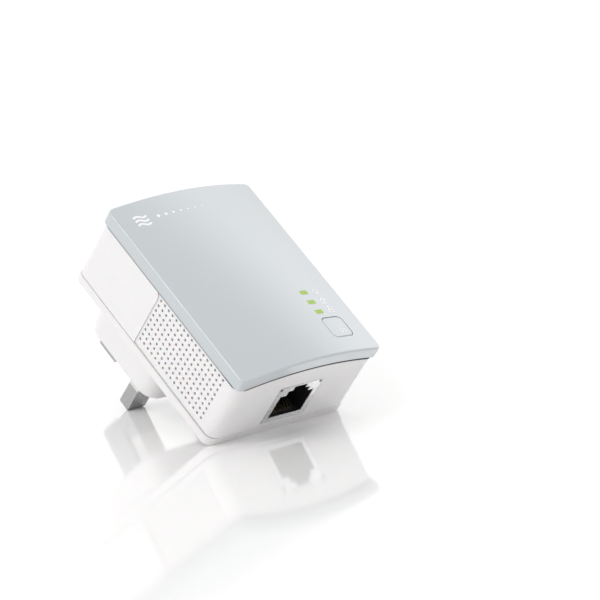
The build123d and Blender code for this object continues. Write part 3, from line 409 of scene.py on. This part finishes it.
def painted_seam_shadow():
    outline = rounded_outline(BODY_HALF[0] + SEAM_PROUD, BODY_HALF[1] + SEAM_PROUD, BODY_CORNER, 8)
    spread = []
    for i, (x, z) in enumerate(outline):
        nx, nz = outline[(i + 1) % len(outline)]
        pieces = max(1, round(math.hypot(nx - x, nz - z) / 2.5))
        spread += [(x + (nx - x) * k / pieces, z + (nz - z) * k / pieces) for k in range(pieces)]
    places = []
    for x, z in spread:
        bow = CROWN_DROP * (x / COVER_HALF[0]) ** 2
        for depth in (SEAM_DEPTH + SEAM_PROUD, SEAM_DEPTH + SEAM_SHADOW_WIDTH):
            places.append(case_point(x, z, bow + depth))
    count = len(spread)
    faces = [(2 * i, 2 * i + 1, (2 * i + 3) % (2 * count), (2 * i + 2) % (2 * count)) for i in range(count)]
    mesh = bpy.data.meshes.new("painted_seam_shadow")
    mesh.from_pydata(places, [], faces)
    mesh.materials.append(seam_shadow_paint())
    made = bpy.data.objects.new("painted_seam_shadow", mesh)
    bpy.context.scene.collection.objects.link(made)
    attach(made, "adapter")


cover_tree = search_tree("front_cover")
GAUGE_INSET = 1.5  # the bow is measured this far in from the cover's side, clear of its rounded edge
gauge_x = COVER_HALF[0] - GAUGE_INSET
gauge_place = on_surface(cover_tree, gauge_x, 0, 0)
CROWN_DROP = (CROWN - gauge_place.dot(FORWARD)) / MM * (COVER_HALF[0] / gauge_x) ** 2
painted_seam_shadow()


# ---------------------------------------------------------------- studio
def emitting(name, colour, strength):
    made, tree, shader = new_material(name)
    tree.nodes.remove(shader)
    glow = add_node(tree, "ShaderNodeEmission", {"Color": (*colour, 1), "Strength": strength})
    tree.links.new(glow.outputs[0], tree.nodes["Material Output"].inputs["Surface"])
    return made, tree, glow


def staged(name, corners, faces, material):
    mesh = bpy.data.meshes.new(name)
    mesh.from_pydata(corners, [], faces)
    mesh.materials.append(material)
    made = bpy.data.objects.new(name, mesh)
    bpy.context.scene.collection.objects.link(made)
    return made


floor_finish, tree, shader = new_material("studio_floor")
matte = blend_colours(tree, noise(tree, 40, 2), (0.93, 0.925, 0.92), (0.94, 0.935, 0.93))
tree.links.new(matte, shader.inputs["Base Color"])
shader.inputs["Roughness"].default_value = 0.9
shader.inputs["Specular IOR Level"].default_value = 0.0
polish = add_node(tree, "ShaderNodeBsdfGlossy", {
    "Color": (1, 1, 1, 1), "Roughness": remap(tree, noise(tree, 60, 2), 0.07, 0.1),
})
sheen = add_node(tree, "ShaderNodeMixShader", {0: 0.38, 1: shader.outputs[0], 2: polish.outputs[0]})
tree.links.new(sheen.outputs[0], tree.nodes["Material Output"].inputs["Surface"])
FLOOR = 6.0
floor_corners = [(-FLOOR, -FLOOR, 0), (FLOOR, -FLOOR, 0), (FLOOR, FLOOR, 0), (-FLOOR, FLOOR, 0)]
staged("floor", floor_corners, [(0, 1, 2, 3)], floor_finish)

# A sky that is white at the horizon and softer overhead.
world = bpy.data.worlds.new("studio")
bpy.context.scene.world = world
world.use_nodes = True
sky = world.node_tree
heading = add_node(sky, "ShaderNodeTexCoord").outputs["Generated"]
height = add_node(sky, "ShaderNodeSeparateXYZ", {0: heading}).outputs["Z"]
behind = add_node(sky, "ShaderNodeVectorMath", {0: heading, 1: (0.73, 0.68, 0.1)}, operation="DOT_PRODUCT")
horizon = add_node(sky, "ShaderNodeMapRange", {
    "Value": behind.outputs["Value"], "From Min": -0.6, "From Max": 0.6, "To Min": 0.68, "To Max": 1.25,
}, interpolation_type="SMOOTHSTEP")
shade = add_node(sky, "ShaderNodeMapRange", {
    "Value": height, "From Min": 0.05, "From Max": 0.8, "To Min": horizon.outputs["Result"], "To Max": 0.92,
}, interpolation_type="SMOOTHSTEP")
sky.links.new(shade.outputs["Result"], sky.nodes["Background"].inputs["Strength"])
sky.nodes["Background"].inputs["Color"].default_value = (1.0, 1.0, 1.0, 1)


def area_light(name, place, target, size, power, colour=(1, 1, 1)):
    data = bpy.data.lights.new(name, "AREA")
    data.shape, data.size, data.size_y = "RECTANGLE", size[0], size[1]
    data.energy, data.color = power, colour
    made = bpy.data.objects.new(name, data)
    made.location = place
    made.rotation_mode = "QUATERNION"
    made.rotation_quaternion = (Vector(target) - Vector(place)).to_track_quat("-Z", "Y")
    bpy.context.scene.collection.objects.link(made)
    return made


area_light("key_light", (-0.75, -0.02, 0.62), (0, 0, 0.03), (0.45, 0.45), 3.0, (1.0, 0.99, 0.99))

# ---------------------------------------------------------------- camera
camera_data = bpy.data.cameras.new("camera")
camera = bpy.data.objects.new("camera", camera_data)
bpy.context.scene.collection.objects.link(camera)
EYE = case_point(-486.4, -316.4, -430.2)
SIGHT_UP = RIGHT * 0.166 + INWARD * -0.689 + UP * 0.705
camera_data.sensor_width = 36
camera_data.lens = 161.1
camera.location = EYE
ahead = -(RIGHT * -0.685 + INWARD * -0.595 + UP * -0.420)
side = ahead.cross(SIGHT_UP).normalized()
camera.rotation_mode = "QUATERNION"
camera.rotation_quaternion = Matrix((side, side.cross(ahead), -ahead)).transposed().to_quaternion()
camera_data.clip_start, camera_data.clip_end = 0.01, 50
bpy.context.scene.camera = camera

bpy.context.scene.view_settings.view_transform = "Standard"


# ---------------------------------------------------------------- reflector
# A soft card that only mirrors in the gloss: its near edge falls from the middle of the face's top to its
# lower right.
CARD_DISTANCE = 0.9


def mirrored(x, height):
    """Where the sight line to a place on the face goes after it is mirrored there, CARD_DISTANCE away."""
    start = case_point(x, height, CAST_FROM)
    place, normal = cover_tree.ray_cast(start, INWARD)[:2]
    seen = (place - EYE).normalized()
    return place + (seen - 2 * seen.dot(normal) * normal) * CARD_DISTANCE


top_end, low_end = mirrored(-8, COVER_SPAN / 2 - 2), mirrored(7, -COVER_SPAN / 2 + 3)
bright_side = mirrored(22, COVER_SPAN / 2 - 4)
edge = (low_end - top_end).normalized()
outward = bright_side - top_end
outward = (outward - edge * outward.dot(edge)).normalized()
card_finish, tree, glow = emitting("soft_card", (1, 1, 1), 1.0)
CARD = 0.9
FADE = 0.13
across = add_node(tree, "ShaderNodeSeparateXYZ", {0: add_node(tree, "ShaderNodeTexCoord").outputs["Object"]})
ramp = add_node(tree, "ShaderNodeMapRange", {
    "Value": across.outputs["X"], "From Min": -FADE, "From Max": FADE, "To Min": 0.0, "To Max": 1.0,
}, interpolation_type="SMOOTHSTEP")
dimming = add_node(tree, "ShaderNodeMapRange", {
    "Value": across.outputs["X"], "From Min": 0.0, "From Max": 0.3, "To Min": 1.9, "To Max": 0.1,
})
lit = add_node(tree, "ShaderNodeMath", {0: ramp.outputs["Result"], 1: dimming.outputs["Result"]},
               operation="MULTIPLY")
tree.links.new(lit.outputs[0], glow.inputs["Strength"])
clear = add_node(tree, "ShaderNodeBsdfTransparent")
veil = add_node(tree, "ShaderNodeAddShader", {0: glow.outputs[0], 1: clear.outputs[0]})
tree.links.new(veil.outputs[0], tree.nodes["Material Output"].inputs["Surface"])
card_corners = [(-FADE, -CARD, 0), (CARD, -CARD, 0), (CARD, CARD, 0), (-FADE, CARD, 0)]
card = staged("soft_card", card_corners, [(0, 1, 2, 3)], card_finish)
facing = outward.cross(edge)
turned = Matrix((outward, edge, facing)).transposed().to_4x4()
card.matrix_world = Matrix.Translation((top_end + low_end) / 2) @ turned
card.visible_camera = card.visible_diffuse = card.visible_shadow = False
